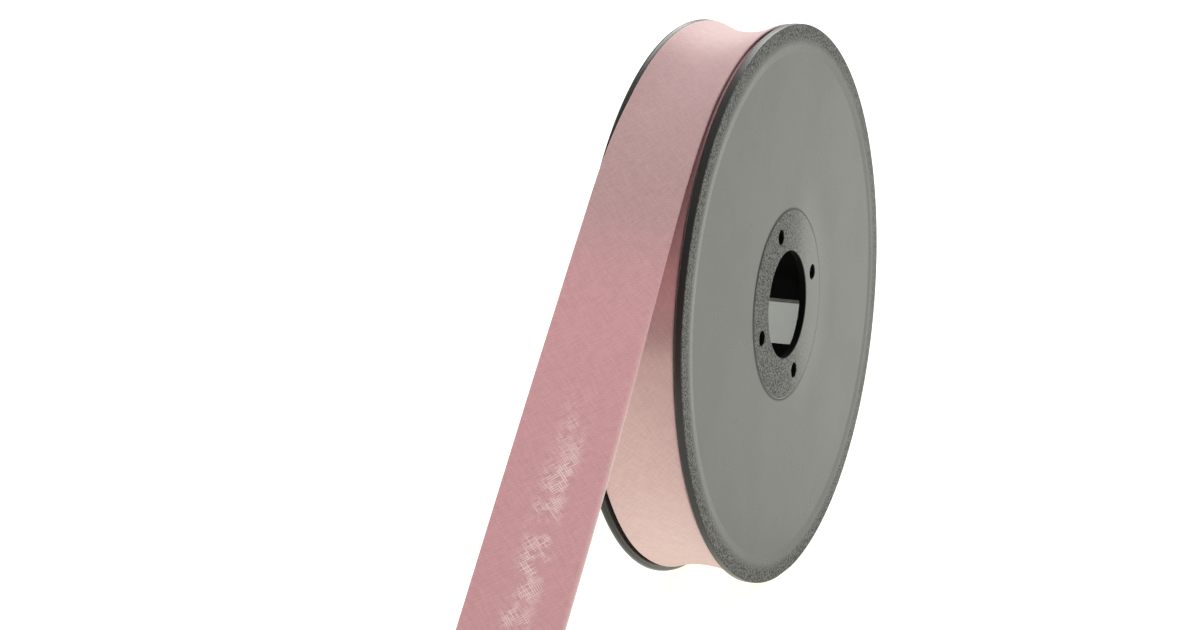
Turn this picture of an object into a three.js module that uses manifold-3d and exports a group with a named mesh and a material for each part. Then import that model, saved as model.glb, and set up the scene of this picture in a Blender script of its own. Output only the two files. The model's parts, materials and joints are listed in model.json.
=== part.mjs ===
// A reel of bias binding, standing on its rims. Folded cotton binding is wound between the two flanges of a
// plastic reel. Its last turn comes over the top, springs away from the roll and runs down to the surface.
//
// Millimetres, +Z up. The reel's axis lies along X, and the loose end runs out towards -Y. The origin is on
// the surface, under the middle of the whole object.

import * as THREE from 'three';
import { mergeVertices } from 'three/addons/utils/BufferGeometryUtils.js';
import Module from 'manifold-3d';

const wasm = await Module();
wasm.setup();

const { degToRad, smoothstep } = THREE.MathUtils;

// Driving sizes of the reel
const reelRadius = 63;
const reelWidth = 24;
const flangeThickness = 1.7;
const faceRadius = 58.5; // the smooth face ends here, and the textured edge band begins
const rimEdge = 0.3; // softened edges of the rim
const boreRadius = 12.2;
const boreEdge = 0.2;
const hubRingRadius = 21.2;
const landRise = 0.15; // the edge band and the ring round the bore stand proud of the face
const driveHoleRadius = 1.75;
const driveHoleCircle = 16.75;
const driveHoleCount = 4;
const firstDriveHole = degToRad(16); // from +Y towards +Z
const flatSpotLength = 12; // each rim stands on a small flat

// Driving sizes of the drum and its card sleeve
const drumRadius = 21;
const drumWall = 1.8;
const sleeveWall = 1;
const windowHalfWidth = 8.3; // the window in the drum's wall, along the axis
const windowTop = degToRad(-9); // from +Y towards +Z
const windowBottom = degToRad(-41);

// Driving sizes of the binding
const bindingWidth = 20; // wound under tension
const sheetThickness = 1;
const roll = {
  middleRadius: 60.4, // the folded edges are thicker, so the roll is hollow across its width
  edgeRadius: 61.9,
  edgeX: 9.3,
  shoulderX: 9.55,
  shoulderRadius: 61.3,
};
const seat = { middleDepth: 1.15, edgeDepth: 0.7 }; // where the last turn lies on the roll
const lastTurn = {
  radius: 60.1, // middle of its thickness, on the middle of the roll
  hollow: 2.2, // how far its edges stand above its middle
  startAngle: degToRad(125), // angles round the roll are measured from the front, over the top
  leaveAngle: degToRad(66),
};
const run = {
  width: 20.8, // bias cloth widens a little once nothing pulls it
  slope: degToRad(49.8), // below the horizontal
  offset: 63.75, // its line's distance from the reel's axis
  startPast: 15, // it is straight from here on, past the point nearest to the axis
  widenLength: 24, // over which it widens, half of it before the straight
  hollow: 0.8,
  twist: degToRad(14), // its far edge is turned outwards
  twistLead: 22, // it starts to turn this far before it is straight
  twistLength: 80,
  untwistLength: 16, // before the bend, where it starts to turn level again
  bendRadius: 24, // where it meets the surface
  flatLength: 30,
};

// Small working values
const gap = 0.3;
const roundSteps = 80;
const drumSteps = 48;
const holeSteps = 16;
const stripsAcross = 6;
const stripsAlong = 64;
const cutMargin = 5; // how far a cutting shape runs past what it cuts

const innerFaceX = reelWidth / 2 - flangeThickness;
const floorZ = -Math.sqrt(reelRadius ** 2 - (flatSpotLength / 2) ** 2); // under the reel's axis
const sleeveInner = drumRadius + gap;
const rollInner = sleeveInner + sleeveWall + gap;
const drumHalfLength = innerFaceX - gap;

// Booleans on closed geometries

function plain(geometry) {
  const copy = geometry.clone();
  copy.deleteAttribute('normal');
  copy.deleteAttribute('uv');
  return mergeVertices(copy, 1e-4);
}

function toSolid(geometry) {
  const closed = plain(geometry);
  return new wasm.Manifold(new wasm.Mesh({
    numProp: 3,
    vertProperties: new Float32Array(closed.attributes.position.array),
    triVerts: new Uint32Array(closed.index.array),
  }));
}

function toGeometry(solid) {
  const mesh = solid.getMesh();
  const geometry = new THREE.BufferGeometry();
  geometry.setAttribute('position', new THREE.BufferAttribute(new Float32Array(mesh.vertProperties), 3));
  geometry.setIndex(new THREE.BufferAttribute(new Uint32Array(mesh.triVerts), 1));
  geometry.computeVertexNormals();
  return geometry;
}

function cut(body, ...tools) {
  return toGeometry(tools.reduce((solid, tool) => solid.subtract(toSolid(tool)), toSolid(body)));
}

// A ring about X from a closed profile of [radius, x] points

function ring(profile, steps) {
  const points = [...profile, profile[0]].map(([radius, x]) => new THREE.Vector2(radius, x));
  return new THREE.LatheGeometry(points, steps).rotateZ(-Math.PI / 2);
}

// The reel's flange: a thin disc with a softened rim, whose edge band and hub ring stand a hair proud. Its
// outer face looks along +X.

function flangeGeometry() {
  const inner = innerFaceX;
  const land = reelWidth / 2;
  const face = land - landRise;
  const disc = ring([
    [boreRadius, inner],
    [reelRadius - rimEdge, inner],
    [reelRadius, inner + rimEdge],
    [reelRadius, land - rimEdge],
    [reelRadius - rimEdge, land],
    [faceRadius, land],
    [faceRadius, face],
    [hubRingRadius, face],
    [hubRingRadius, land],
    [boreRadius + boreEdge, land],
    [boreRadius, land - boreEdge],
  ], roundSteps);

  const holes = [];
  for (let i = 0; i < driveHoleCount; i++) {
    const angle = firstDriveHole + (i * 2 * Math.PI) / driveHoleCount;
    const hole = new THREE.CylinderGeometry(driveHoleRadius, driveHoleRadius, reelWidth, holeSteps);
    hole.rotateZ(Math.PI / 2);
    hole.translate(face, driveHoleCircle * Math.cos(angle), driveHoleCircle * Math.sin(angle));
    holes.push(hole);
  }
  const ground = new THREE.BoxGeometry(2 * reelWidth, reelRadius, cutMargin);
  ground.translate(0, 0, floorZ - cutMargin / 2);
  return cut(disc, ...holes, ground);
}

// The barrel between the flanges, with a window in its wall

function drumGeometry() {
  const inner = drumRadius - drumWall;
  const barrel = ring([
    [inner, -drumHalfLength],
    [drumRadius, -drumHalfLength],
    [drumRadius, drumHalfLength],
    [inner, drumHalfLength],
  ], drumSteps);

  const sector = new THREE.Shape();
  sector.absarc(0, 0, drumRadius + cutMargin, windowBottom, windowTop, false);
  sector.absarc(0, 0, inner - cutMargin, windowTop, windowBottom, true);
  sector.closePath();
  const opening = new THREE.ExtrudeGeometry(sector, {
    depth: 2 * windowHalfWidth,
    bevelEnabled: false,
    curveSegments: 6,
  });
  opening.translate(0, 0, -windowHalfWidth);
  opening.applyMatrix4(new THREE.Matrix4().makeBasis(
    new THREE.Vector3(0, 1, 0),
    new THREE.Vector3(0, 0, 1),
    new THREE.Vector3(1, 0, 0),
  ));
  return cut(barrel, opening);
}

// The thin card round the drum, on which the binding is wound

function sleeveGeometry() {
  return plain(ring([
    [sleeveInner, -drumHalfLength],
    [sleeveInner + sleeveWall, -drumHalfLength],
    [sleeveInner + sleeveWall, drumHalfLength],
    [sleeveInner, drumHalfLength],
  ], drumSteps));
}

// The wound roll: one solid, hollow across its outer face, with a seat pressed in where the last turn lies

function seatShare(angle) {
  const front = smoothstep(angle, degToRad(36), degToRad(52));
  const back = 1 - smoothstep(angle, lastTurn.startAngle + degToRad(1), lastTurn.startAngle + degToRad(6));
  return front * back;
}

function rollGeometry() {
  const crownSteps = 8;
  const profile = [
    [rollInner, -drumHalfLength],
    [roll.shoulderRadius, -roll.shoulderX],
  ];
  for (let i = 0; i <= crownSteps; i++) {
    const across = -1 + (2 * i) / crownSteps;
    const radius = roll.middleRadius + (roll.edgeRadius - roll.middleRadius) * across ** 2;
    profile.push([radius, across * roll.edgeX]);
  }
  profile.push([roll.shoulderRadius, roll.shoulderX], [rollInner, drumHalfLength]);
  const geometry = ring(profile, roundSteps);

  const place = geometry.attributes.position;
  for (let i = 0; i < place.count; i++) {
    const radius = Math.hypot(place.getY(i), place.getZ(i));
    if (radius < roll.middleRadius - 1) continue;
    const across = Math.min(1, Math.abs(place.getX(i)) / roll.edgeX);
    const depth = seat.middleDepth + (seat.edgeDepth - seat.middleDepth) * across ** 2;
    const angle = Math.atan2(place.getZ(i), -place.getY(i));
    const scale = 1 - (depth * seatShare(angle)) / radius;
    place.setXYZ(i, place.getX(i), place.getY(i) * scale, place.getZ(i) * scale);
  }
  return plain(geometry);
}

// The loose end's path, side on: forward is x and up is y, measured from the reel's axis

function loosePath() {
  const { radius, startAngle, leaveAngle } = lastTurn;
  const along = new THREE.Vector2(Math.cos(run.slope), -Math.sin(run.slope));
  const outward = new THREE.Vector2(Math.sin(run.slope), Math.cos(run.slope));
  const nearest = outward.clone().multiplyScalar(run.offset);
  const straightStart = nearest.clone().addScaledVector(along, run.startPast);

  const leave = new THREE.Vector2(Math.cos(leaveAngle), Math.sin(leaveAngle)).multiplyScalar(radius);
  const leaveAlong = new THREE.Vector2(Math.sin(leaveAngle), -Math.cos(leaveAngle));
  const handle = leave.distanceTo(straightStart) / 3;

  const restY = floorZ + sheetThickness / 2;
  const bendStartY = restY + run.bendRadius * (1 - Math.cos(run.slope));
  const bendStart = straightStart.clone().addScaledVector(along, (straightStart.y - bendStartY) / -along.y);
  const bendEnd = new THREE.Vector2(bendStart.x + run.bendRadius * Math.sin(run.slope), restY);
  const bendCentre = new THREE.Vector2(bendEnd.x, restY + run.bendRadius);

  const path = new THREE.CurvePath();
  path.add(new THREE.EllipseCurve(0, 0, radius, radius, startAngle, leaveAngle, true));
  path.add(new THREE.CubicBezierCurve(
    leave,
    leave.clone().addScaledVector(leaveAlong, handle),
    straightStart.clone().addScaledVector(along, -handle),
    straightStart,
  ));
  path.add(new THREE.LineCurve(straightStart, bendStart));
  path.add(new THREE.EllipseCurve(
    bendCentre.x,
    bendCentre.y,
    run.bendRadius,
    run.bendRadius,
    -Math.PI / 2 - run.slope,
    -Math.PI / 2,
    false,
  ));
  path.add(new THREE.LineCurve(bendEnd, new THREE.Vector2(bendEnd.x + run.flatLength, restY)));

  const [wrapped, sprung, straight, bent] = path.curves.map((curve) => curve.getLength());
  return {
    path,
    length: path.getLength(),
    leaveAt: wrapped,
    straightAt: wrapped + sprung,
    bendAt: wrapped + sprung + straight,
    flatAt: wrapped + sprung + straight + bent,
    reach: bendEnd.x + run.flatLength,
  };
}

// The loose end: a box's own grid is laid along the path, hollowed across its width and turned by the twist

function looseGeometry(loose) {
  const geometry = new THREE.BoxGeometry(2, sheetThickness, 1, stripsAcross, 1, stripsAlong);
  const place = geometry.attributes.position;
  for (let i = 0; i < place.count; i++) {
    const across = place.getX(i);
    const share = place.getZ(i) + 0.5;
    const s = share * loose.length;
    const middle = loose.path.getPoint(share);
    const tangent = loose.path.getTangent(share);
    const normal = new THREE.Vector2(-tangent.y, tangent.x);

    const freed = smoothstep(s, loose.leaveAt, loose.straightAt);
    const landed = smoothstep(s, loose.bendAt - run.untwistLength, loose.flatAt);
    const hollow = THREE.MathUtils.lerp(lastTurn.hollow, run.hollow, freed) * (1 - landed);
    const turned = Math.min(1, Math.max(0, (s - loose.straightAt + run.twistLead) / run.twistLength));
    const twist = run.twist * (1 - (1 - turned) ** 2) * (1 - landed);

    const halfLength = run.widenLength / 2;
    const widened = smoothstep(s, loose.straightAt - halfLength, loose.straightAt + halfLength);
    const half = THREE.MathUtils.lerp(bindingWidth, run.width, widened) / 2;
    const drawnIn = half - (2 / 3) * (hollow ** 2 / half);
    const lift = hollow * across ** 2 + place.getY(i);
    const side = across * drawnIn * Math.cos(twist) + lift * Math.sin(twist);
    const out = lift * Math.cos(twist) - across * drawnIn * Math.sin(twist);
    place.setXYZ(i, side, -(middle.x + normal.x * out), middle.y + normal.y * out);
  }
  return plain(geometry);
}

// Materials

function finish(color, roughness) {
  return new THREE.MeshStandardMaterial({ color, roughness, metalness: 0 });
}

const polishedPlastic = () => finish(0x373836, 0.3);
const darkPlastic = () => finish(0x1a1a1a, 0.7);
const paleCard = () => finish(0xd2d4cb, 0.9);
const roseCotton = () => finish(0xd8a9a8, 0.95);

// The object

const loose = loosePath();
const object = new THREE.Group();
const reel = new THREE.Group();
reel.position.set(0, (loose.reach - reelRadius) / 2, -floorZ);
object.add(reel);

function add(name, geometry, material) {
  const mesh = new THREE.Mesh(geometry, material);
  mesh.name = name;
  reel.add(mesh);
  return mesh;
}

const flange = flangeGeometry();
add('near_flange', flange, polishedPlastic());
add('far_flange', flange.clone(), polishedPlastic()).rotation.z = Math.PI;
add('hub_drum', drumGeometry(), darkPlastic());
add('core_sleeve', sleeveGeometry(), paleCard());
add('wound_binding', rollGeometry(), roseCotton());
add('loose_end', looseGeometry(loose), roseCotton());

export default object;
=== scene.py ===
# %% [markdown]
# # A reel of bias binding
#
# Bias binding is a strip of cotton cut slantwise to the weave, with both long edges folded in and pressed.
# This one is wound on a narrow plastic reel that stands on its two rims. Its last turn comes over the top,
# springs away from the roll and runs down to the surface.
#
# The lesson builds the reel first, then the wound turns, then the strip itself. The imported model gives every
# place and size, so it is loaded before anything else.

# %% Load the imported model
import json
import math
from collections import namedtuple

import bmesh
import bpy
import numpy as np
from mathutils import Matrix, Vector, noise
from mathutils.geometry import interpolate_bezier

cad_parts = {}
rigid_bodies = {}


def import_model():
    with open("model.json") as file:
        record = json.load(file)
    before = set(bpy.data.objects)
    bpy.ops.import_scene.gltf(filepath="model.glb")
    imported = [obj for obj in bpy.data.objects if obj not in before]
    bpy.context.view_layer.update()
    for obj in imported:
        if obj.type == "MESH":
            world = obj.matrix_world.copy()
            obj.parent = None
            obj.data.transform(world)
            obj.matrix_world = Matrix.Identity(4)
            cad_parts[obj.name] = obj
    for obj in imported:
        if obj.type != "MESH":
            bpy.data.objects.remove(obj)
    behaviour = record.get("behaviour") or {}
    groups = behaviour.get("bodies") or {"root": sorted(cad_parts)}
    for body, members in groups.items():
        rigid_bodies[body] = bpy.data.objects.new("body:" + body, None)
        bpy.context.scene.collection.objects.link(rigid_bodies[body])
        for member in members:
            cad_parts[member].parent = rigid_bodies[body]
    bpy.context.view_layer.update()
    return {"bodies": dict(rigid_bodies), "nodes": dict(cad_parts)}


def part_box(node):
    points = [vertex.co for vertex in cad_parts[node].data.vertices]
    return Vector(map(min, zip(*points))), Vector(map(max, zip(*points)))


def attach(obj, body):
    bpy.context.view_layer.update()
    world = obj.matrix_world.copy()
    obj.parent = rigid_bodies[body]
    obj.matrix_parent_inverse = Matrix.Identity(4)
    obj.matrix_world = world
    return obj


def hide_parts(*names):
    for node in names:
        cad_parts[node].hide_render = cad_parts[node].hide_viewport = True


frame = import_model()
scene = bpy.context.scene
print("nodes:", sorted(frame["nodes"]))

# %% [markdown]
# ## The camera
#
# The reel is seen from the front and a little above, turned so that one flange shows as a narrow ellipse.
# A long lens keeps that ellipse nearly even. The place and the lens come from fitting the outlines of the
# flanges, the bore and its four holes, and they bring those outlines to within a pixel or two.

# %% Camera
MM = 0.001
low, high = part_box("near_flange")
REEL_RADIUS = (high.y - low.y) / 2 / MM
AXIS = Vector((0, (high.y + low.y) / 2, high.z - REEL_RADIUS * MM))

camera = bpy.data.objects.new("camera", bpy.data.cameras.new("camera"))
scene.collection.objects.link(camera)
camera.location = AXIS + Vector((0.2318, -0.6008, 0.1329))
LOOKS_DOWN = math.radians(11.969)
TURNED_LEFT = math.radians(23.845)
camera.rotation_euler = (math.pi / 2 - LOOKS_DOWN, 0, TURNED_LEFT)
camera.data.sensor_width = 36
camera.data.lens = 86.56
scene.camera = camera
print("reel radius", round(REEL_RADIUS, 2), "mm, axis at", [round(v, 4) for v in AXIS])

# %% [markdown]
# ## Short words for shader nodes
#
# Every finish here is a pattern made by nodes. A few helpers keep the recipes short enough to read: `add`
# makes a node and fills its inputs in order, `calc` does one sum, and `fade` turns a range of one value into
# a range of another.

# %% Node helpers


def new_shader(name):
    """A material's node tree and its main shader."""
    material = bpy.data.materials.new(name)
    material.use_nodes = True
    return material, material.node_tree, material.node_tree.nodes["Principled BSDF"]


def fill(tree, socket, value):
    """Links a socket to a value's socket, or sets it to a plain value."""
    if isinstance(value, bpy.types.NodeSocket):
        tree.links.new(value, socket)
    else:
        socket.default_value = value


def add(tree, kind, *values, **settings):
    """A node with its settings made and its inputs filled in order."""
    made = tree.nodes.new("ShaderNode" + kind)
    for key, value in settings.items():
        setattr(made, key, value)
    for socket, value in zip(made.inputs, values):
        fill(tree, socket, value)
    return made


def calc(tree, operation, *values):
    return add(tree, "Math", *values, operation=operation).outputs[0]


def fade(tree, value, start, end, low=0.0, high=1.0):
    """Goes smoothly from low to high as value goes from start to end."""
    made = add(tree, "MapRange", value, start, end, low, high, interpolation_type="SMOOTHSTEP")
    return made.outputs["Result"]


def grain(tree, place, scale, detail=2.0):
    """Noise from 0 to 1, with so many lumps to a metre."""
    made = add(tree, "TexNoise")
    fill(tree, made.inputs["Vector"], place)
    made.inputs["Scale"].default_value = scale
    made.inputs["Detail"].default_value = detail
    return made.outputs[0]


def blend(tree, share, first, second):
    """Goes from the first number to the second as share goes from 0 to 1."""
    made = add(tree, "Mix")
    fill(tree, made.inputs[0], share)
    fill(tree, made.inputs[2], first)
    fill(tree, made.inputs[3], second)
    return made.outputs[0]


def blend_colours(tree, share, first, second):
    made = add(tree, "Mix", data_type="RGBA")
    fill(tree, made.inputs["Factor"], share)
    fill(tree, made.inputs[6], first)
    fill(tree, made.inputs[7], second)
    return made.outputs[2]


def relief(tree, shader, height, depth):
    """Bump, with the depth that a height of 1 stands for, in metres."""
    bump = add(tree, "Bump")
    bump.inputs["Distance"].default_value = depth
    fill(tree, bump.inputs["Height"], height)
    tree.links.new(bump.outputs["Normal"], shader.inputs["Normal"])


# %% [markdown]
# ## Floor and light
#
# Pale goods are often photographed on a white acrylic table that is lit from below, in front of a white
# backdrop. The ground then goes white, and the underside of the object is bright too. A plain plane with a
# little emission does the same. The room's own light is a gradient: bright behind the object, as a backdrop
# is, and dim on the camera's side.
#
# One soft panel behind and above lights the top of the roll. Another, high at the front, lights the loose
# end, which shades the roll behind it. It is left out of reflections, or the near rim would mirror it as a
# hard streak. A narrow spot from the left, left out of them too, reaches the card tube through the far
# flange's bore. The grey of the smooth flange is mostly the bright table mirrored in nearly black plastic, so
# the table's tint is what that face shows.

# %% Floor
scene.view_settings.view_transform = "Standard"


def as_object(shape, name):
    """Puts a bmesh into the scene as an object, and lets the bmesh go."""
    mesh = bpy.data.meshes.new(name)
    shape.to_mesh(mesh)
    shape.free()
    made = bpy.data.objects.new(name, mesh)
    scene.collection.objects.link(made)
    return made


ground = bmesh.new()
ground_half = 6
bmesh.ops.create_grid(ground, x_segments=1, y_segments=1, size=ground_half)
floor = as_object(ground, "floor")

acrylic, _, surface = new_shader("lit_table")
surface.inputs["Base Color"].default_value = (0.35, 0.35, 0.35, 1)
surface.inputs["Roughness"].default_value = 0.9
surface.inputs["Emission Color"].default_value = (1.0, 1.0, 0.88, 1)
surface.inputs["Emission Strength"].default_value = 0.96
floor.data.materials.append(acrylic)
print("floor:", round(2 * ground_half), "m wide")

# %% Lights


def lamp(light, place, aim, mirrored):
    """Hangs a light up, aims it, and says whether shiny plastic mirrors it."""
    made = bpy.data.objects.new(light.name, light)
    made.location = place
    made.rotation_euler = (Vector(aim) - Vector(place)).to_track_quat("-Z", "Y").to_euler()
    made.visible_camera = False
    made.visible_glossy = mirrored
    scene.collection.objects.link(made)


def panel(name, place, aim, size, power, mirrored=True):
    """A square soft panel that the camera doesn't see."""
    light = bpy.data.lights.new(name, "AREA")
    light.shape = "SQUARE"
    light.size = size
    light.energy = power
    lamp(light, place, aim, mirrored)


panel("back_panel", place=(0, 1.1, 1.15), aim=(0, 0.05, 0.08), size=1.1, power=16)
panel("top_panel", place=(-0.35, -0.8, 1.35), aim=(0, 0.05, 0.06), size=0.6, power=11, mirrored=False)

card_light = bpy.data.lights.new("card_light", "SPOT")
card_light.energy = 43
card_light.spot_size = math.radians(1.1)
card_light.spot_blend = 0.3
card_light.shadow_soft_size = 0.005
seen_card = AXIS + Vector((4, 20, -9)) * MM
lamp(card_light, place=(-1.05, -0.9, 0.7), aim=seen_card, mirrored=False)

# %% Room light
TOWARDS_BACKDROP = (0.095, 0.38, 0.14)
MIDDLE_GLOW = 0.475
LEAST_GLOW = 0.095

room = bpy.data.worlds.new("room")
scene.world = room
room.use_nodes = True
sky = room.node_tree
direction = add(sky, "TexCoord").outputs["Generated"]
backdrop = add(sky, "VectorMath", direction, TOWARDS_BACKDROP, operation="DOT_PRODUCT").outputs["Value"]
glow = calc(sky, "MAXIMUM", calc(sky, "ADD", backdrop, MIDDLE_GLOW), LEAST_GLOW)
seen = add(sky, "LightPath").outputs["Is Camera Ray"]
strength = blend(sky, seen, glow, 1.0)
sky.links.new(strength, sky.nodes["Background"].inputs["Strength"])
sky.nodes["Background"].inputs["Color"].default_value = (1, 1, 1, 1)

# %% [markdown]
# ## Plastic of the reel
#
# The reel is moulded in one dark plastic with two finishes. The mould's flat faces are polished, so the disc
# mirrors the bright table softly. The raised edge band and the ring round the bore are spark textured: fine
# pits scatter the mirror image, and these places look darker and grainy. The border of the band is speckled,
# not sharp, because the texture thins out there, and on one side of the ring it has been rubbed smooth. On
# that side, beside the bore, the plastic is also made more reflective, a painted highlight, and inside the
# bore it is made nearly black and dull, a painted shade. One material does it all from the distance to the
# reel's axis, with noise added to that distance at the borders. The first cell says where each finish is, and
# the second what each finish looks like.

# %% Where the plastic is what
BAND_STARTS = 58.5
HUB_RING_RADIUS = 21.2
BORE_RADIUS = 12.2
FLANGE_OUTSIDE = high.x / MM
PITS_PER_METRE = 2100
BAND_JITTER = 6
RUB_JITTER = 14


def reel_zones(tree, place, pits):
    """Shares from 0 to 1: the spark texture, the painted shade inside the bore, the rim, and the painted
    highlight beside the bore.
    """
    centred = add(tree, "Mapping", place)
    centred.inputs["Location"].default_value = -AXIS
    along_axis, backward, _ = add(tree, "SeparateXYZ", centred.outputs[0]).outputs
    across = add(tree, "VectorMath", centred.outputs[0], (0, 1, 1), operation="MULTIPLY").outputs[0]
    radius = add(tree, "VectorMath", across, operation="LENGTH").outputs["Value"]
    from_middle = calc(tree, "ABSOLUTE", along_axis)
    outside = fade(tree, from_middle, (FLANGE_OUTSIDE - 0.2) * MM, (FLANGE_OUTSIDE - 0.08) * MM)
    below = calc(tree, "SUBTRACT", 1, outside)

    jitter = calc(tree, "SUBTRACT", pits, 0.5)
    thinning = calc(tree, "MULTIPLY_ADD", jitter, BAND_JITTER * MM, radius)
    band = fade(tree, thinning, (BAND_STARTS - 0.4) * MM, (BAND_STARTS + 1.6) * MM)
    band = calc(tree, "MULTIPLY", band, fade(tree, backward, 15 * MM, 60 * MM, 1, 0.6))
    ring = fade(tree, radius, HUB_RING_RADIUS * MM, (HUB_RING_RADIUS - 0.1) * MM)
    speckled = calc(tree, "MULTIPLY_ADD", jitter, RUB_JITTER * MM, backward)
    hub = calc(tree, "MULTIPLY", ring, fade(tree, speckled, -9 * MM, 18 * MM, 1, 0))

    textured = calc(tree, "MULTIPLY", calc(tree, "MAXIMUM", band, hub), outside)
    # Painted shade: in the bore and drive holes, below the outer face, the plastic is near black and dull.
    in_bore = fade(tree, radius, (HUB_RING_RADIUS + 1) * MM, HUB_RING_RADIUS * MM)
    painted_bore_shade = calc(tree, "MULTIPLY", in_bore, below)
    at_rim = fade(tree, radius, (REEL_RADIUS - 1) * MM, (REEL_RADIUS - 0.4) * MM)
    rim = calc(tree, "MULTIPLY", at_rim, below)
    # Painted highlight: beside the bore, towards the back, the plastic is made more reflective.
    beside_bore = fade(tree, radius, 32 * MM, 20 * MM)
    painted_bore_highlight = calc(tree, "MULTIPLY", beside_bore, fade(tree, backward, 2 * MM, 14 * MM))
    return textured, painted_bore_shade, rim, painted_bore_highlight


# %% Plastic


def reel_plastic():
    material, tree, shader = new_shader("reel_plastic")
    place = add(tree, "TexCoord").outputs["Object"]
    pits = grain(tree, place, PITS_PER_METRE, 2)
    textured, painted_bore_shade, rim, painted_bore_highlight = reel_zones(tree, place, pits)

    clouds = grain(tree, place, 60, 3)
    polish = fade(tree, clouds, 0.3, 0.7, 0.25, 0.29)
    matt = fade(tree, pits, 0.35, 0.65, 0.78, 0.42)
    rough = blend(tree, painted_bore_shade, blend(tree, textured, polish, matt), 0.9)
    tree.links.new(rough, shader.inputs["Roughness"])

    black = blend_colours(tree, clouds, (0.014, 0.015, 0.013, 1), (0.019, 0.020, 0.018, 1))
    grit = calc(tree, "MULTIPLY", fade(tree, pits, 0.4, 0.62), textured)
    greyed = blend_colours(tree, grit, black, (0.085, 0.085, 0.078, 1))
    # Painted shade: the plastic inside the bore and the drive holes is coloured nearly black.
    tree.links.new(blend_colours(tree, painted_bore_shade, greyed, (0.003, 0.003, 0.003, 1)), shader.inputs["Base Color"])

    shader.inputs["IOR"].default_value = 1.59
    # The painted highlight beside the bore raises the reflection there.
    gloss = calc(tree, "MULTIPLY_ADD", painted_bore_highlight, 0.25, 0.5)
    gloss = blend(tree, painted_bore_shade, blend(tree, rim, gloss, 0.27), 0.08)
    tree.links.new(gloss, shader.inputs["Specular IOR Level"])
    relief(tree, shader, calc(tree, "MULTIPLY", pits, textured), 0.03 * MM)
    return material


reel_finish = reel_plastic()
print("finish:", reel_finish.name)

# %% [markdown]
# ## Plastic of the drum, and card
#
# Inside the bore hardly any light comes back. The drum is black plastic with moulding marks, coloured darker
# than the flanges' black as painted shade. The card tube behind the drum's window is pale and uncoated: short
# fibres lie in it every way, which soft noise at two sizes gives in both colour and relief.

# %% Drum plastic and card


def drum_plastic():
    material, tree, shader = new_shader("drum_plastic")
    place = add(tree, "TexCoord").outputs["Object"]
    marks = grain(tree, place, 400, 3)
    # Painted shade: this black is darker than the flanges', for the deep shade inside the bore.
    tree.links.new(
        blend_colours(tree, marks, (0.003, 0.003, 0.003, 1), (0.006, 0.006, 0.006, 1)),
        shader.inputs["Base Color"],
    )
    shader.inputs["Roughness"].default_value = 0.85
    shader.inputs["Specular IOR Level"].default_value = 0.12
    relief(tree, shader, marks, 0.03 * MM)
    return material


def core_card():
    material, tree, shader = new_shader("core_card")
    place = add(tree, "TexCoord").outputs["Object"]
    fibres = grain(tree, place, 1500, 5)
    clouds = grain(tree, place, 180, 3)
    both = calc(tree, "MULTIPLY_ADD", fibres, 0.5, calc(tree, "MULTIPLY", clouds, 0.5))
    tree.links.new(
        blend_colours(tree, both, (0.74, 0.76, 0.70, 1), (0.86, 0.88, 0.82, 1)),
        shader.inputs["Base Color"],
    )
    shader.inputs["Roughness"].default_value = 0.9
    relief(tree, shader, fibres, 0.06 * MM)
    return material


drum_finish = drum_plastic()
card_finish = core_card()

# %% [markdown]
# ## The cotton
#
# The binding is cut on the bias, so its threads run at 45 degrees to its edges. The strip's UV map is its own
# flat cloth in metres, and turning that by 45 degrees gives one coordinate across the warp and one across the
# weft. In a plain weave each thread goes over one and under the next. Its height is a rounded bar, raised
# where it passes over, and the higher of the two threads shows.
#
# Real yarn is uneven: every thread has a thickness and shade of its own, and thick places, or slubs, run
# along it for a few millimetres. Noise that is stretched along the threads gives both. Three attributes paint
# light into the colour. The first gives one cotton a pale peach on the roll and a deeper rose on the loose
# end, with a darker painted shade on the roll's shoulder and a painted shadow on the turns under the loose
# end. The second marks a painted sheen streak down the loose end, where the crests of the lighter threads are
# painted as pale glints. The third paints a pale highlight along the near fold.

# %% Cotton
THREAD_PITCH = 0.45 * MM


def thread_height(tree, own, crossing, shift):
    """A thread's height: rounded across its own width, and waving over and under as it crosses others."""
    rounded = calc(tree, "ABSOLUTE", calc(tree, "SINE", calc(tree, "MULTIPLY", own, math.pi)))
    count = calc(tree, "ADD", calc(tree, "FLOOR", own), shift)
    wave = calc(tree, "COSINE", calc(tree, "MULTIPLY", calc(tree, "ADD", crossing, count), math.pi))
    over = calc(tree, "MULTIPLY_ADD", wave, 0.3, 0.7)
    return calc(tree, "MULTIPLY", rounded, over)


def yarn_shade(tree, own, crossing, seed):
    """Each thread's own shade, which also changes slowly along it."""
    spot = add(tree, "CombineXYZ", calc(tree, "FLOOR", own), calc(tree, "MULTIPLY", crossing, 0.11), seed)
    return grain(tree, spot.outputs[0], 1.37, 1)


def painted_glint(tree, own, shade):
    """A painted highlight: a fine light line along the crest of some of the threads."""
    crest = calc(tree, "ABSOLUTE", calc(tree, "SINE", calc(tree, "MULTIPLY", own, math.pi)))
    return calc(tree, "MULTIPLY", fade(tree, crest, 0.55, 0.97), fade(tree, shade, 0.40, 0.56, 0, 0.6))


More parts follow.
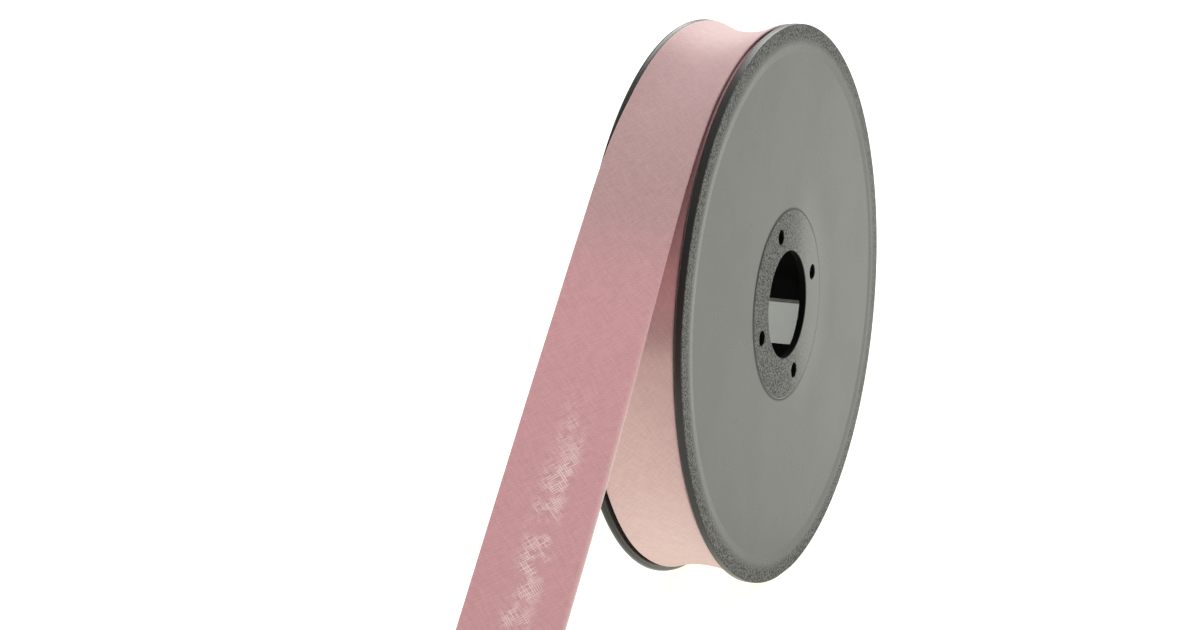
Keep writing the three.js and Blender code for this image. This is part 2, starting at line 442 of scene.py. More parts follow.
def binding_cotton():
    material, tree, shader = new_shader("binding_cotton")
    flat = add(tree, "UVMap", uv_map="cloth").outputs["UV"]
    turned = add(tree, "Mapping", flat)
    turned.inputs["Rotation"].default_value = (0, 0, math.radians(45))
    turned.inputs["Scale"].default_value = (1 / THREAD_PITCH, 1 / THREAD_PITCH, 1)
    uneven = grain(tree, flat, 90, 2)
    warp, weft, _ = add(tree, "SeparateXYZ", turned.outputs[0]).outputs
    warp = calc(tree, "MULTIPLY_ADD", uneven, 1.2, warp)
    weft = calc(tree, "MULTIPLY_ADD", uneven, -1.0, weft)

    warp_up = thread_height(tree, warp, weft, 0)
    weft_up = thread_height(tree, weft, warp, 1)
    height = calc(tree, "MAXIMUM", warp_up, weft_up)
    on_top = calc(tree, "GREATER_THAN", warp_up, weft_up)
    warp_shade = yarn_shade(tree, warp, weft, 3.1)
    weft_shade = yarn_shade(tree, weft, warp, 8.7)
    shade = blend(tree, on_top, weft_shade, warp_shade)

    # Painted light: one cotton as pale peach on the roll, darker rose in painted shade, rose on the loose end.
    painted_light = add(tree, "Attribute", attribute_name="painted_light").outputs["Fac"]
    peach = (0.67, 0.490, 0.473, 1)
    shaded_rose = (0.465, 0.298, 0.300, 1)
    bright_rose = (0.59, 0.312, 0.332, 1)
    dye = blend_colours(tree, fade(tree, painted_light, 0, 0.5), peach, shaded_rose)
    dye = blend_colours(tree, fade(tree, painted_light, 0.5, 1), dye, bright_rose)
    # Painted shade: the cotton is a little darker where a thread dips low between its neighbours.
    painted_gap_shade = fade(tree, height, 0.2, 0.9, 0.96, 1.01)
    lit = calc(tree, "MULTIPLY", painted_gap_shade, fade(tree, shade, 0.25, 0.75, 0.92, 1.06))
    shaded = add(tree, "VectorMath", dye, operation="SCALE")
    fill(tree, shaded.inputs["Scale"], lit)

    # Painted sheen: a streak down the loose end, where pale glints are painted on the thread crests.
    painted_sheen = add(tree, "Attribute", attribute_name="painted_sheen").outputs["Fac"]
    patches = fade(tree, grain(tree, flat, 190, 3), 0.38, 0.56)
    painted_glints = calc(tree, "MAXIMUM", painted_glint(tree, warp, warp_shade), painted_glint(tree, weft, weft_shade))
    sheen_share = calc(tree, "MULTIPLY", calc(tree, "MULTIPLY", painted_sheen, patches), painted_glints)
    # Painted highlight: a pale line along the near fold.
    painted_fold_highlight = add(tree, "Attribute", attribute_name="painted_fold_highlight").outputs["Fac"]
    fold_highlight_share = calc(tree, "MULTIPLY", painted_fold_highlight, 0.6)
    with_fold_highlight = blend_colours(tree, fold_highlight_share, shaded.outputs[0], (0.88, 0.72, 0.66, 1))
    # Painted sheen: pale glints on the thread crests in the streak.
    tree.links.new(blend_colours(tree, sheen_share, with_fold_highlight, (0.88, 0.76, 0.73, 1)), shader.inputs["Base Color"])

    shader.inputs["Roughness"].default_value = 0.85
    shader.inputs["Sheen Weight"].default_value = 0.25
    shader.inputs["Sheen Roughness"].default_value = 0.45
    shader.inputs["Sheen Tint"].default_value = (1.0, 0.93, 0.90, 1)
    shader.inputs["Specular IOR Level"].default_value = 0.2
    relief(tree, shader, calc(tree, "MULTIPLY", height, fade(tree, shade, 0.2, 0.8, 0.7, 1.3)), 0.02 * MM)
    return material


cotton = binding_cotton()
print("thread pitch", round(THREAD_PITCH / MM, 2), "mm")

# %% [markdown]
# ## Turned shapes
#
# The flanges, the drum, the card tube and the wound turns are all turned about one axis. The operator for
# that is spin: it takes a drawn profile of radius and place along the axis, and sweeps it round. With
# `use_merge` the last step is welded to the first, so a full turn closes on itself. Corners stay sharp in the
# profile and are rounded afterwards by bevelling the circular edges that they made. On a hard piece, a
# Weighted Normal modifier then keeps the shading of the wide flat faces flat right up to those small rounded
# edges.

# %% Spin and soften
ROUND_STEPS = 256


def turned(profile, steps=ROUND_STEPS):
    """A ring about the reel's axis, from a closed profile of (radius, x) corners in millimetres."""
    shape = bmesh.new()
    corners = [shape.verts.new((x * MM, 0, radius * MM)) for radius, x in profile]
    sides = [shape.edges.new(pair) for pair in zip(corners, corners[1:] + corners[:1])]
    bmesh.ops.spin(
        shape,
        geom=corners + sides,
        axis=(1, 0, 0),
        angle=math.tau,
        steps=steps,
        use_merge=True,
    )
    bmesh.ops.recalc_face_normals(shape, faces=shape.faces)
    return shape


def soften(shape, radius, x, width, segments=3):
    """Rounds the circular edge that lies at one radius and one place along the axis."""

    def on_circle(vert):
        near_x = abs(vert.co.x - x * MM) < 0.01 * MM
        return near_x and abs(math.hypot(vert.co.y, vert.co.z) - radius * MM) < 0.01 * MM

    circle = [edge for edge in shape.edges if all(on_circle(vert) for vert in edge.verts)]
    bmesh.ops.bevel(
        shape,
        geom=circle,
        offset=width * MM,
        affect="EDGES",
        segments=segments,
        profile=0.5,
        material=-1,
        clamp_overlap=True,
    )


# %% Finish a piece


def finished(shape, name, material, carve=(), crease=35, rigid=True):
    """Sets a shape on the reel's axis, cuts the carving shapes out of it and marks its creases."""
    bmesh.ops.translate(shape, verts=shape.verts, vec=AXIS)
    piece = as_object(shape, name)
    for cutter in carve:
        cut = piece.modifiers.new(cutter.name, "BOOLEAN")
        cut.operation = "DIFFERENCE"
        cut.solver = "EXACT"
        cut.object = cutter
    if carve:
        bpy.context.view_layer.update()
        carved = piece.evaluated_get(bpy.context.evaluated_depsgraph_get())
        piece.data = bpy.data.meshes.new_from_object(carved)
        piece.data.name = name
        piece.modifiers.clear()
        for cutter in carve:
            bpy.data.objects.remove(cutter)
    piece.data.materials.clear()
    piece.data.materials.append(material)
    piece.data.shade_smooth()
    piece.data.set_sharp_from_angle(angle=math.radians(crease))
    if rigid:
        even = piece.modifiers.new("even_shading", "WEIGHTED_NORMAL")
        even.keep_sharp = True
    print(name, "has", len(piece.data.polygons), "faces")
    return piece


# %% [markdown]
# ## A flange
#
# Each flange is a thin disc with a rounded rim. Two lands stand proud of its outer face by a hair: the band
# along the edge and the ring round the bore, which are what touches when reels are stacked. The band slopes
# gently down to the face, and the ring more steeply, so only the ring has an outline. The far rim is
# the rounder one, and shows as a soft dark line past the roll. The rim has a small flat where the reel
# stands, made by cutting the disc with the plane of the surface. Four drive holes go through the ring. Their
# cutters are spun too, with a flare at both ends, so that each hole comes out with rounded lips.

# %% Flange disc
FLANGE_INSIDE = low.x / MM
LAND_RISE = 0.15
LAND_ROUND = 0.06
BAND_SLOPE = 1.8
RING_SLOPE = 0.25
BORE_ROUND = 0.2


def flange_disc(inner_round, outer_round):
    """The outer face looks along +X, about an axis through the origin."""
    band_foot = BAND_STARTS - BAND_SLOPE
    ring_foot = HUB_RING_RADIUS + RING_SLOPE
    face = FLANGE_OUTSIDE - LAND_RISE
    shape = turned([
        (BORE_RADIUS, FLANGE_INSIDE),
        (REEL_RADIUS, FLANGE_INSIDE),
        (REEL_RADIUS, FLANGE_OUTSIDE),
        (BAND_STARTS, FLANGE_OUTSIDE),
        (band_foot, face),
        (ring_foot, face),
        (HUB_RING_RADIUS, FLANGE_OUTSIDE),
        (BORE_RADIUS, FLANGE_OUTSIDE),
    ])
    soften(shape, REEL_RADIUS, FLANGE_INSIDE, inner_round, 5)
    soften(shape, REEL_RADIUS, FLANGE_OUTSIDE, outer_round, 5)
    for top, foot in ((BAND_STARTS, band_foot), (HUB_RING_RADIUS, ring_foot)):
        soften(shape, top, FLANGE_OUTSIDE, LAND_ROUND, 2)
        soften(shape, foot, face, LAND_ROUND, 2)
    soften(shape, BORE_RADIUS, FLANGE_OUTSIDE, BORE_ROUND, 3)
    soften(shape, BORE_RADIUS, FLANGE_INSIDE, BORE_ROUND, 2)
    return shape


def stand(shape):
    """Cuts the flat that the rim stands on, at the height of the surface."""
    everything = shape.verts[:] + shape.edges[:] + shape.faces[:]
    surface_level = (0, 0, -AXIS.z)
    bmesh.ops.bisect_plane(
        shape, geom=everything, plane_co=surface_level, plane_no=(0, 0, -1), clear_outer=True
    )
    bmesh.ops.holes_fill(shape, edges=[edge for edge in shape.edges if edge.is_boundary], sides=0)
    bmesh.ops.recalc_face_normals(shape, faces=shape.faces)


# %% Drive holes
DRIVE_HOLE_RADIUS = 1.75
DRIVE_HOLE_CIRCLE = 16.75
FIRST_DRIVE_HOLE = math.radians(16)
DRIVE_HOLE_LIP = 0.14
CUTTER_REACH = 0.4


def spindle_outline():
    """A cutter's (radius, x) points from one end to the other, flared where it passes each face."""
    half = (FLANGE_OUTSIDE - FLANGE_INSIDE) / 2
    flare = []
    for degrees in (0, 25, 50, 75):
        bend = math.radians(degrees)
        radius = DRIVE_HOLE_RADIUS + DRIVE_HOLE_LIP * (1 - math.cos(bend))
        flare.append((radius, half - DRIVE_HOLE_LIP * (1 - math.sin(bend))))
    end = half + CUTTER_REACH
    outline = flare + [(DRIVE_HOLE_RADIUS + DRIVE_HOLE_LIP + 0.1, end), (0, end)]
    return [(radius, -x) for radius, x in reversed(outline)] + outline


def hole_cutter(name, side, angle):
    """Spins the outline into a spindle, and puts it on the flange's circle of holes."""
    shape = bmesh.new()
    points = [shape.verts.new((x * MM, 0, radius * MM)) for radius, x in spindle_outline()]
    line = [shape.edges.new(pair) for pair in zip(points, points[1:])]
    bmesh.ops.spin(shape, geom=points + line, axis=(1, 0, 0), angle=math.tau, steps=48, use_merge=True)
    bmesh.ops.remove_doubles(shape, verts=shape.verts, dist=0.001 * MM)
    bmesh.ops.recalc_face_normals(shape, faces=shape.faces)
    middle = (FLANGE_INSIDE + FLANGE_OUTSIDE) / 2
    circle = DRIVE_HOLE_CIRCLE
    centre = Vector((middle, circle * math.cos(angle), circle * math.sin(angle))) * MM
    bmesh.ops.translate(shape, verts=shape.verts, vec=centre)
    bmesh.ops.rotate(shape, verts=shape.verts, cent=(0, 0, 0), matrix=Matrix.Rotation(side, 3, "Z"))
    bmesh.ops.translate(shape, verts=shape.verts, vec=AXIS)
    return as_object(shape, name)


# %% Both flanges


def flange(name, side, inner_round, outer_round):
    """A flange, turned about Z by side: not at all for the near one, and by half a turn for the far one."""
    shape = flange_disc(inner_round, outer_round)
    bmesh.ops.rotate(shape, verts=shape.verts, cent=(0, 0, 0), matrix=Matrix.Rotation(side, 3, "Z"))
    stand(shape)
    angles = [FIRST_DRIVE_HOLE + step * math.pi / 2 for step in range(4)]
    cutters = [hole_cutter(f"{name}_hole_{step}", side, angle) for step, angle in enumerate(angles)]
    return finished(shape, name, reel_finish, carve=cutters, crease=30)


near = flange("near_flange_moulding", side=0, inner_round=0.25, outer_round=0.35)
far = flange("far_flange_moulding", side=math.pi, inner_round=0.9, outer_round=0.7)

# %% [markdown]
# ## The drum and its window
#
# The flanges are joined by a hollow drum. Its wall has a window, through which the card behind it shows as a
# pale patch. The window's cutter is a box-like sector: a profile spun through only 32 degrees and closed at
# both ends.

# %% Drum
DRUM_RADIUS = 21
DRUM_WALL = 1.8
WINDOW_HALF_WIDTH = 8.3
WINDOW_TOP = math.radians(-9)
WINDOW_BOTTOM = math.radians(-41)
drum_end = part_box("hub_drum")[1].x / MM


def window_cutter():
    shape = bmesh.new()
    inside = DRUM_RADIUS - DRUM_WALL - 1
    outside = DRUM_RADIUS + 1
    corners = []
    for radius, x in ((inside, -1), (outside, -1), (outside, 1), (inside, 1)):
        across = radius * MM * Vector((math.cos(WINDOW_BOTTOM), math.sin(WINDOW_BOTTOM)))
        corners.append(shape.verts.new((x * WINDOW_HALF_WIDTH * MM, across.x, across.y)))
    bmesh.ops.spin(
        shape,
        geom=[shape.faces.new(corners)],
        axis=(1, 0, 0),
        angle=WINDOW_TOP - WINDOW_BOTTOM,
        steps=16,
        use_merge=False,
    )
    bmesh.ops.recalc_face_normals(shape, faces=shape.faces)
    bmesh.ops.translate(shape, verts=shape.verts, vec=AXIS)
    return as_object(shape, "window")


def tube(inside, outside, end_round, segments):
    """A tube as long as the drum, with its four end edges rounded."""
    shape = turned([(inside, -drum_end), (outside, -drum_end), (outside, drum_end), (inside, drum_end)], 160)
    for end in (-drum_end, drum_end):
        soften(shape, outside, end, end_round, segments)
        soften(shape, inside, end, end_round, segments)
    return shape


barrel = tube(DRUM_RADIUS - DRUM_WALL, DRUM_RADIUS, 0.3, 3)
drum = finished(barrel, "drum_barrel", drum_finish, carve=[window_cutter()])

# %% [markdown]
# ## The card tube
#
# A thin card tube slips over the drum and carries the first turn. Only its inner side shows, through the
# window, so it is a plain ring with its ends softened as cut card is.

# %% Card tube
CARD_WALL = 1.0
card_outside = (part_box("core_sleeve")[1].y - AXIS.y) / MM
card_inside = card_outside - CARD_WALL

card = finished(tube(card_inside, card_outside, 0.15, 2), "card_tube", card_finish)

# %% [markdown]
# ## The wound turns
#
# Below the last turn lie some seventy others. From outside only their folded edges show, one above another
# in the narrow slot beside each flange. The profile therefore has a rounded rib for each of the outer turns,
# each pushed sideways a little by noise, and a plain wall for the inner ones. The top is hollow across its
# width, because the folded edges are thicker than the middle. After the spin the ribs are moved again by
# noise that changes round the reel, because no turn lies at quite the same place all the way.

# %% Profile of the wound turns
TURN_PITCH = 0.5
RIBBED_TURNS = 14
TURNS_MIDDLE = 59.35
TURNS_EDGE = 60.8
TURNS_HALF_WIDTH = 9.75
TURN_SLIP = 0.22
CROWN_STEPS = 10
GAP = 0.3


def rib(turn, side):
    """The rounded edge of one turn, from its top to its foot."""
    middle = TURNS_EDGE - (turn + 0.5) * TURN_PITCH
    out = TURNS_HALF_WIDTH + TURN_SLIP * noise.noise(Vector((turn * 1.7, side * 5.0, 0)))
    bumps = ((0.42, 0.2), (0.26, 0.05), (0, 0), (-0.26, 0.05), (-0.42, 0.2))
    return [(middle + up * TURN_PITCH, side * (out - back)) for up, back in bumps]


def wound_profile():
    inner = card_outside + GAP
    left = [point for turn in range(RIBBED_TURNS) for point in rib(turn, -1)]
    right = [point for turn in range(RIBBED_TURNS) for point in rib(turn, 1)]
    crown = []
    for step in range(CROWN_STEPS + 1):
        across = -1 + 2 * step / CROWN_STEPS
        crown_radius = TURNS_MIDDLE + (TURNS_EDGE - TURNS_MIDDLE) * across**2
        crown.append((crown_radius, across * (TURNS_HALF_WIDTH - 0.4)))
    return [(inner, -drum_end)] + left[::-1] + crown + right + [(inner, drum_end)]


print("profile:", len(wound_profile()), "corners")

# %% Wound turns
TURN_WANDER = 0.15


def cloth_map(shape):
    """UVs in metres: x across, and the distance round the roll along."""
    layer = shape.loops.layers.uv.new("cloth")
    for face in shape.faces:
        middle = face.calc_center_median()
        face_angle = math.atan2(middle.z, middle.y)
        for loop in face.loops:
            place = loop.vert.co
            angle = math.atan2(place.z, place.y)
            angle += math.tau * round((face_angle - angle) / math.tau)
            loop[layer].uv = (place.x, angle * REEL_RADIUS * MM)


wound = turned(wound_profile(), 192)
last_rib = TURNS_EDGE - (RIBBED_TURNS + 1) * TURN_PITCH
for vert in wound.verts:
    radius = math.hypot(vert.co.y, vert.co.z) / MM
    if radius > last_rib and abs(vert.co.x) > (TURNS_HALF_WIDTH - 1.25) * MM:
        spot = Vector((vert.co.y, vert.co.z, 0)) / (22 * MM) + Vector((0, 0, radius / 1.1))
        vert.co.x += TURN_WANDER * MM * noise.noise(spot)
cloth_map(wound)
turns = finished(wound, "wound_turns", cotton, crease=60, rigid=False)

# %% [markdown]
# ## The strip's path
#
# The last turns and the loose end are one strip, and the strip is what the eye follows, so it is made as the
# cloth it is. Seen from the side, its path is a slow spiral round the roll, then a springy curve where it
# leaves, a straight run, a bend on the surface and a short flat end. The table gives the spiral at a few
# angles, measured from the front over the top: the radius of its outer face at mid width, how far the folded
# edges stand above the middle, and half its width, which is less where the cloth is pulled tight. The last
# column is how far the strip has slid sideways. Near its end it lies closer to the far flange, as binding
# does once its tension is let go.

# %% Table of the wound part
Turn = namedtuple("Turn", "angle radius lift half_width shift")
WOUND = [
    Turn(angle=66, radius=60.60, lift=2.35, half_width=9.75, shift=-0.72),
    Turn(angle=125, radius=60.60, lift=2.35, half_width=9.72, shift=-0.65),
    Turn(angle=180, radius=60.50, lift=1.80, half_width=9.60, shift=-0.30),
    Turn(angle=270, radius=60.38, lift=1.55, half_width=9.52, shift=0.00),
    Turn(angle=360, radius=60.26, lift=1.50, half_width=9.58, shift=-0.10),
    Turn(angle=390, radius=60.15, lift=1.60, half_width=9.68, shift=-0.30),
    Turn(angle=426, radius=60.00, lift=2.00, half_width=9.80, shift=-0.40),
    Turn(angle=500, radius=59.98, lift=2.10, half_width=9.80, shift=-0.40),
]


def wound_value(column, angle):
    """One column of the table at an angle in degrees, eased between its rows."""
    for here, after in zip(WOUND, WOUND[1:]):
        if angle <= after.angle:
            share = (angle - here.angle) / (after.angle - here.angle)
            eased = share * share * (3 - 2 * share)
            return getattr(here, column) * (1 - eased) + getattr(after, column) * eased
    return getattr(WOUND[-1], column)


def smooth(value, start, end):
    share = min(1.0, max(0.0, (value - start) / (end - start)))
    return share * share * (3 - 2 * share)


print("the strip is wound through", WOUND[-1].angle - WOUND[0].angle, "degrees")

# %% [markdown]
# ## The whole route
#
# A route in two dimensions is enough, forward and up from the reel's axis, because the strip hardly leaves
# its plane. The wound part follows the table. Where the cloth comes off the roll it is still curled by the
# winding, and a Bezier curve that starts and ends along its neighbours gives that spring. The run is
# straight, and a short arc lays it on the surface. The distances along the route at which each part ends are
# kept, because width, twist and wear all change between them.

# %% Route of the strip
CLOTH = 0.22
SLIT = 0.06
FOLD_FULLNESS = 0.12
RUN_SLOPE = math.radians(49.8)
RUN_OFFSET = 64.1
RUN_STARTS_PAST = 15
BEND_RADIUS = 24
FLAT_LENGTH = 30


def polar(angle, radius):
    return Vector((math.cos(angle), math.sin(angle))) * radius


leave_angle = math.radians(WOUND[0].angle)
along = Vector((math.cos(RUN_SLOPE), -math.sin(RUN_SLOPE)))
outward = Vector((math.sin(RUN_SLOPE), math.cos(RUN_SLOPE)))
ABOVE_SURFACE = 0.02
rest_height = -AXIS.z / MM + 1.5 * CLOTH + SLIT + FOLD_FULLNESS + ABOVE_SURFACE

wound_angles = [math.radians(degrees) for degrees in range(WOUND[-1].angle, WOUND[0].angle - 1, -1)]
wound_part = [polar(a, wound_value("radius", math.degrees(a)) - CLOTH / 2) for a in wound_angles]
leave = wound_part[-1]
leave_along = Vector((math.sin(leave_angle), -math.cos(leave_angle)))
straight_start = outward * RUN_OFFSET + along * RUN_STARTS_PAST
handle = (straight_start - leave).length / 3
spring = interpolate_bezier(
    leave, leave + leave_along * handle, straight_start - along * handle, straight_start, 24
)
bend_start_height = rest_height + BEND_RADIUS * (1 - math.cos(RUN_SLOPE))
bend_start = straight_start + along * ((straight_start.y - bend_start_height) / -along.y)
bend_centre = Vector((bend_start.x + BEND_RADIUS * math.sin(RUN_SLOPE), rest_height + BEND_RADIUS))
bend_angles = [-math.pi / 2 - RUN_SLOPE * (1 - step / 16) for step in range(1, 17)]
bend = [bend_centre + polar(angle, BEND_RADIUS) for angle in bend_angles]
flat_end = bend[-1] + Vector((FLAT_LENGTH, 0))

route = np.array([list(p) for p in wound_part + spring[1:] + [bend_start] + bend + [flat_end]])
marks = np.concatenate(([0], np.cumsum(np.hypot(*np.diff(route, axis=0).T))))
LEAVES_AT = marks[len(wound_part) - 1]
STRAIGHT_AT = marks[len(wound_part) + len(spring) - 2]
BENDS_AT = marks[len(wound_part) + len(spring) - 1]
FLAT_AT = marks[-2]
STRIP_LENGTH = marks[-1]
print("strip", round(STRIP_LENGTH), "mm long, leaves the roll at", round(LEAVES_AT), "mm")

# %% [markdown]
# ## The folded strip
#
# The strip is one thin sheet, cut wide and folded in at both sides until the raw edges nearly meet
# underneath. So it starts as a flat grid: its columns stand for places across the cut cloth, its rows for
# places along it. The same grid gives the UV map. A formula then folds each row into its section and carries
# it to its place on the path. The folds are round and a little fuller than the middle, as pressed cotton is.
# Slow noise moves the edges by a twentieth of a millimetre. Solidify gives the cloth its thickness.

# %% Section of the folded cloth
TOP_HALF = 9.75
FLAP = 9.3
FOLD_RADIUS = (CLOTH + SLIT + FOLD_FULLNESS) / 2
FOLD_LENGTH = math.pi * FOLD_RADIUS
FULL_REACH = 1.6
NEAR_STEEPNESS = 2.0
FAR_STEEPNESS = 2.4


def columns():
    """Places across the cut cloth, close together on the folds."""
    half = [TOP_HALF * step / 13 for step in range(14)]
    half += [TOP_HALF + FOLD_LENGTH * step / 7 for step in range(1, 8)]
    half += [TOP_HALF + FOLD_LENGTH + FLAP * (step / 9) ** 1.2 for step in range(1, 10)]
    return [-place for place in half[:0:-1]] + half


def section(place, half_width, lift):
    """Where a place across the cut cloth lies in the folded section: sideways, and out from the path."""
    side = math.copysign(1, place)
    cut = abs(place)
    reach = half_width - FOLD_RADIUS - CLOTH / 2
    steepness = NEAR_STEEPNESS if side > 0 else FAR_STEEPNESS

    if cut <= TOP_HALF:
        across, out, down = cut * reach / TOP_HALF, 0, 0
    elif cut <= TOP_HALF + FOLD_LENGTH:
        turn = (cut - TOP_HALF) / FOLD_RADIUS
        across = reach
        out = FOLD_RADIUS * math.sin(turn)
        down = FOLD_RADIUS * (1 - math.cos(turn))
    else:
        back = cut - TOP_HALF - FOLD_LENGTH
        across, out = reach * (1 - back / TOP_HALF), 0
        down = CLOTH + SLIT + FOLD_FULLNESS * math.exp(-((back / FULL_REACH) ** 2))

    share = across / half_width
    slope = math.atan(steepness * lift / half_width * share ** (steepness - 1))
    height = lift * share**steepness
    across += out * math.cos(slope) + down * math.sin(slope)
    height += out * math.sin(slope) - down * math.cos(slope)
    return side * across, height


# %% [markdown]
# ## How the strip changes along its way
#
# On the roll the table gives the width, the hollow and the slide. Once the strip is free it widens, because
# bias cloth grows narrow when it is pulled and comes back when it isn't. It also flattens, and its far edge
# turns outwards. Each change has its own start and length, eased so that none begins with a corner.

# %% State along the strip
RUN_HALF_WIDTH = 10.36
RUN_LIFT = 0.8
RUN_TWIST = math.radians(14)
WIDEN_LENGTH = 75
CENTRED_BEFORE = 20
CENTRED_AFTER = 80
TWIST_LEAD = 28
TWIST_LENGTH = 80
UNTWIST_LENGTH = 16


def strip_state(s):
    """Half width, lift, shift, twist and how far it has come to rest, at a distance along the strip."""
    if s < LEAVES_AT:
        spot = np.interp(s, marks[: len(wound_part)], range(len(wound_part)))
        angle = WOUND[-1].angle - spot
        half_width, lift, shift = (wound_value(column, angle) for column in ("half_width", "lift", "shift"))
        return half_width, lift, shift, 0.0, 0.0
    freed = smooth(s, LEAVES_AT, STRAIGHT_AT)
    landed = smooth(s, BENDS_AT - UNTWIST_LENGTH, FLAT_AT)
    widened = smooth(s, STRAIGHT_AT, STRAIGHT_AT + WIDEN_LENGTH)
    centred = smooth(s, STRAIGHT_AT - CENTRED_BEFORE, STRAIGHT_AT + CENTRED_AFTER)
    shift = WOUND[0].shift * (1 - centred)
    half_width = WOUND[0].half_width * (1 - widened) + RUN_HALF_WIDTH * widened
    lift = (WOUND[0].lift * (1 - freed) + RUN_LIFT * freed) * (1 - landed)
    turned_share = min(1.0, max(0.0, (s - STRAIGHT_AT + TWIST_LEAD) / TWIST_LENGTH))
    twist = RUN_TWIST * (1 - (1 - turned_share) ** 2) * (1 - landed)
    return half_width, lift, shift, twist, landed


def path_at(s):
    """Point and outward direction on the path, seen from the side."""
    ahead, behind = min(s + 0.4, STRIP_LENGTH), max(s - 0.4, 0)
    here = [np.interp(s, marks, route[:, k]) for k in (0, 1)]
    run = [np.interp(ahead, marks, route[:, k]) - np.interp(behind, marks, route[:, k]) for k in (0, 1)]
    direction = Vector(run).normalized()
    return Vector(here), Vector((-direction.y, direction.x))


print("at the surface:", [round(v, 2) for v in strip_state(BENDS_AT)[:3]])

# %% [markdown]
# ## Where each place lies, and its painted light
#
# Every place on the flat cloth has two numbers: how far it is from the middle line, and how far along the
# strip. One function carries it into the room. Three others give the light painted into its colour: the peach
# and rose with their painted shade and shadow, the painted sheen streak, and the painted highlight on the
# fold.
# These are kept on the mesh as attributes, which the cotton reads, so the painted light follows the cloth
# round every bend and fold.

# %% Place and painted light
WANDER = 0.05
RIPPLE = 0.16
# Painted shadow of the loose end on the turns below: where it is deep, and where it fades, along the strip.
PAINTED_SHADOW_DEEP = (129, 150)
PAINTED_SHADOW_FAINT = (168, 208)
STREAK_HALF_WIDTH = 2.9
STREAK_WANDER = 0.9
FOLD_HIGHLIGHT_HALF_WIDTH = 0.25


def laid(place, s, state, centre, normal):
    """Carries a place on the flat cloth to its place in the room."""
    half_width, lift, shift, twist, landed = state
    wander = WANDER * noise.noise(Vector((s / 27, 4, 0)))
    ripple = RIPPLE * (1 - landed) * noise.noise(Vector((s / 19, math.copysign(2, place), 7)))
    across, height = section(place, half_width, lift + ripple)
    across += wander + shift
    side = across * math.cos(twist) + height * math.sin(twist)
    out = height * math.cos(twist) - across * math.sin(twist)
    spot = centre + normal * out
    return Vector((side * MM, AXIS.y - spot.x * MM, AXIS.z + spot.y * MM))


def painted_light_along(s):
    """Painted light along the strip: 0 for pale peach on the roll, 0.5 for painted shade on its shoulder,
    1 for the rose of the free run and for the painted shadow it casts on the turns below.
    """
    leaving = smooth(s, LEAVES_AT - 27, LEAVES_AT + 6) / 2
    leaving += smooth(s, STRAIGHT_AT - 15, STRAIGHT_AT + 30) / 2
    # Painted shadow where the loose end hangs over the turns below it.
    painted_shadow = 0.83 * (1 - smooth(s, *PAINTED_SHADOW_DEEP)) + 0.17 * (1 - smooth(s, *PAINTED_SHADOW_FAINT))
    return min(1.0, leaving + painted_shadow)


def painted_sheen_streak(place, past):
    """A painted sheen streak along the middle of the free run."""
    middle = 0.6 + STREAK_WANDER * noise.noise(Vector((past / 13, 1.5, 0)))
    near = math.exp(-(((place - middle) / STREAK_HALF_WIDTH) ** 4))
    return near * smooth(past, 38, 62) * (1 - 0.6 * smooth(past, 100, 130))


def fold_highlight(place, past):
    """A painted highlight along the near fold."""
    from_fold = place - TOP_HALF - FOLD_LENGTH * 0.4
    return math.exp(-((from_fold / FOLD_HIGHLIGHT_HALF_WIDTH) ** 2)) * smooth(past, 5, 60)


# %% Fold the strip
STRIP_STEP = 1.6


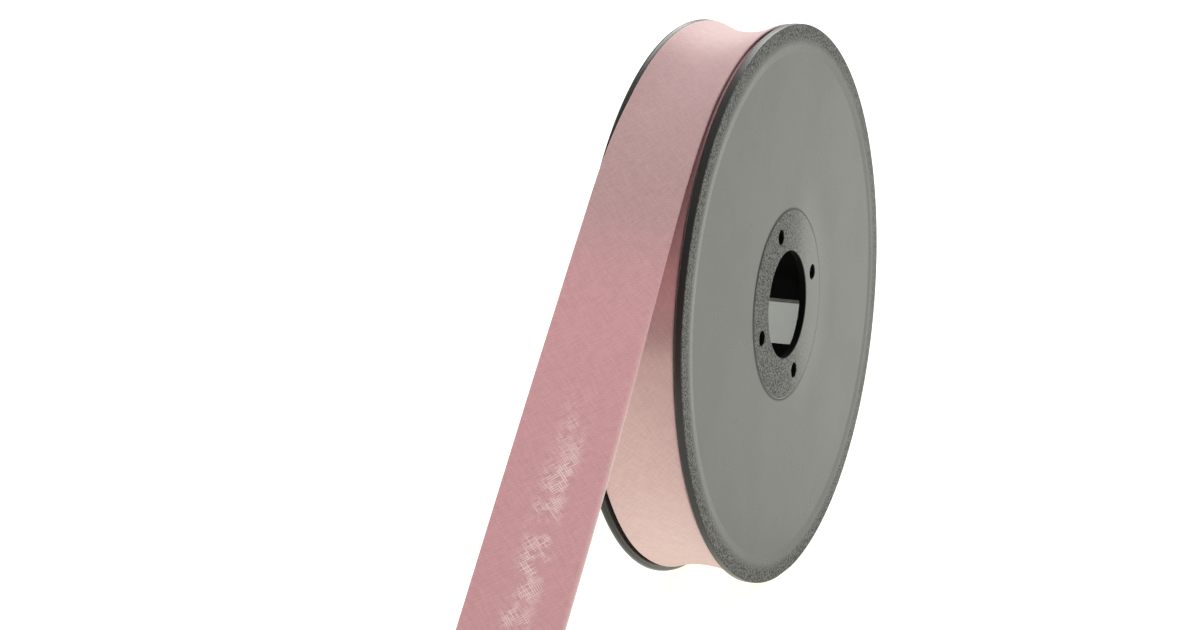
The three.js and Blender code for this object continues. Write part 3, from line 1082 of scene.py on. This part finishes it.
def strip_mesh():
    places = columns()
    rows = round(STRIP_LENGTH / STRIP_STEP)
    shape = bmesh.new()
    bmesh.ops.create_grid(shape, x_segments=len(places) - 1, y_segments=rows, size=0.5)
    cloth = shape.loops.layers.uv.new("cloth")
    painted_light = shape.verts.layers.float.new("painted_light")
    painted_sheen = shape.verts.layers.float.new("painted_sheen")
    painted_fold_highlight = shape.verts.layers.float.new("painted_fold_highlight")
    states = [(strip_state(s), path_at(s)) for s in np.linspace(0, STRIP_LENGTH, rows + 1)]
    flat_places = {}
    for vert in shape.verts:
        column = round((vert.co.x + 0.5) * (len(places) - 1))
        row = round((vert.co.y + 0.5) * rows)
        place, s = places[column], row * STRIP_LENGTH / rows
        past = s - STRAIGHT_AT
        state, (centre, normal) = states[row]
        vert.co = laid(place, s, state, centre, normal)
        vert[painted_light] = painted_light_along(s)
        vert[painted_sheen] = painted_sheen_streak(place, past)
        vert[painted_fold_highlight] = fold_highlight(place, past)
        flat_places[vert] = (place * MM, s * MM)
    for face in shape.faces:
        for loop in face.loops:
            loop[cloth].uv = flat_places[loop.vert]
    bmesh.ops.recalc_face_normals(shape, faces=shape.faces)
    return shape


folded = strip_mesh()
over_reel = Vector((0, AXIS.y, 1))
top = min(folded.faces, key=lambda face: (face.calc_center_median() - over_reel).length)
if top.normal.z < 0:
    bmesh.ops.reverse_faces(folded, faces=folded.faces)
strip = as_object(folded, "folded_strip")
print("strip has", len(strip.data.polygons), "faces as a sheet")

# %% Thicken the strip
thickness = strip.modifiers.new("thickness", "SOLIDIFY")
thickness.thickness = CLOTH * MM
thickness.offset = 0
thickness.use_even_offset = True
bpy.context.view_layer.update()
solid = bpy.data.meshes.new_from_object(strip.evaluated_get(bpy.context.evaluated_depsgraph_get()))
strip.modifiers.clear()
strip.data = solid
solid.materials.clear()
solid.materials.append(cotton)
solid.shade_smooth()
solid.set_sharp_from_angle(angle=math.radians(55))

# %% [markdown]
# ## What replaces what
#
# Each finished piece says which plain solid it stands for and which of the record's finishes it has. All
# ride on the one body, because nothing on the reel moves by itself.

# %% Rides and slots
Piece = namedtuple("Piece", "made replaces slot")
pieces = [
    Piece(near, "near_flange", "reel_plastic"),
    Piece(far, "far_flange", "reel_plastic"),
    Piece(drum, "hub_drum", "drum_plastic"),
    Piece(card, "core_sleeve", "core_card"),
    Piece(turns, "wound_binding", "binding_cloth"),
    Piece(strip, "loose_end", "binding_cloth"),
]
body = next(iter(frame["bodies"]))
for piece in pieces:
    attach(piece.made, body)
    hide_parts(piece.replaces)
